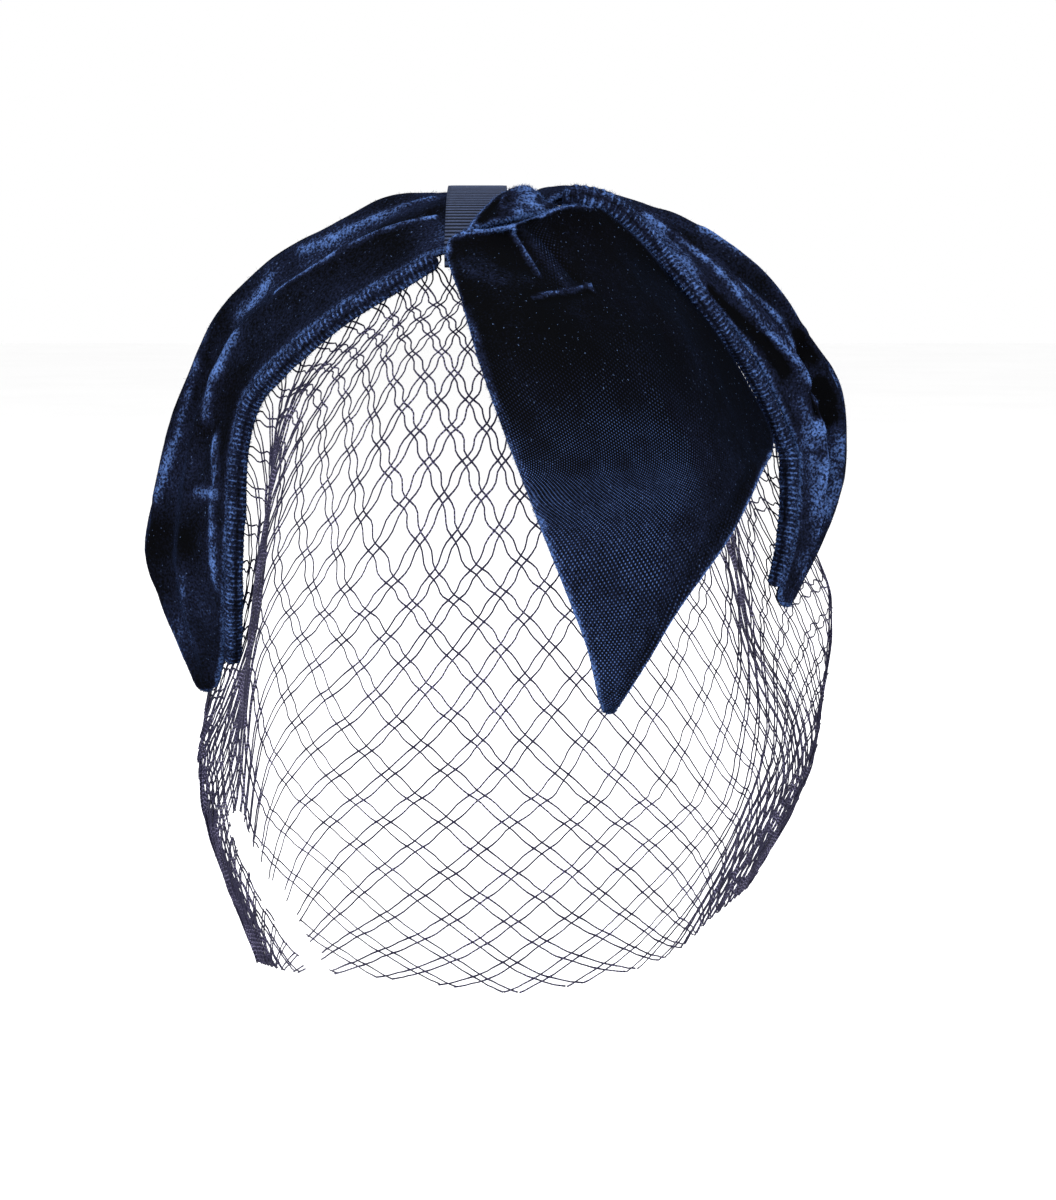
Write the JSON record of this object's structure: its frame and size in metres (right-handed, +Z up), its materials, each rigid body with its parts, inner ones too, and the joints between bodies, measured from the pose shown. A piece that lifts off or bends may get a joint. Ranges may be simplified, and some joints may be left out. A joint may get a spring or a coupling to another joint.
{
  "type": "velvet half-hat fascinator with face veil",
  "caption": "Half-hat of folded navy velvet: side bands joined by a ribbed ribbon at the crown, a pointed front leaf and a full-face net veil.",
  "frame": {"origin": "the seat on the crown of the head, under the ribbon where the two side bands join", "axes": "+Z up; the wearer faces -Y, so the veil and the leaf are at -Y; +X is to the right as seen from the front"},
  "size_m": [0.2044, 0.1319, 0.2191],
  "materials": {
    "velvet": "navy velvet, dark face-on and bright blue along its folds",
    "binding": "navy velvet gathered into a ribbed roll",
    "ribbon": "dull navy ribbed ribbon",
    "net": "dark blue twisted thread"
  },
  "bodies": {
    "root": {"left_side_band": "velvet", "right_side_band": "velvet", "left_edge_roll": "binding", "right_edge_roll": "binding", "centre_ribbon": "ribbon", "front_leaf": "velvet", "crown_fold": "velvet", "face_veil": "net"}
  },
  "joints": []
}
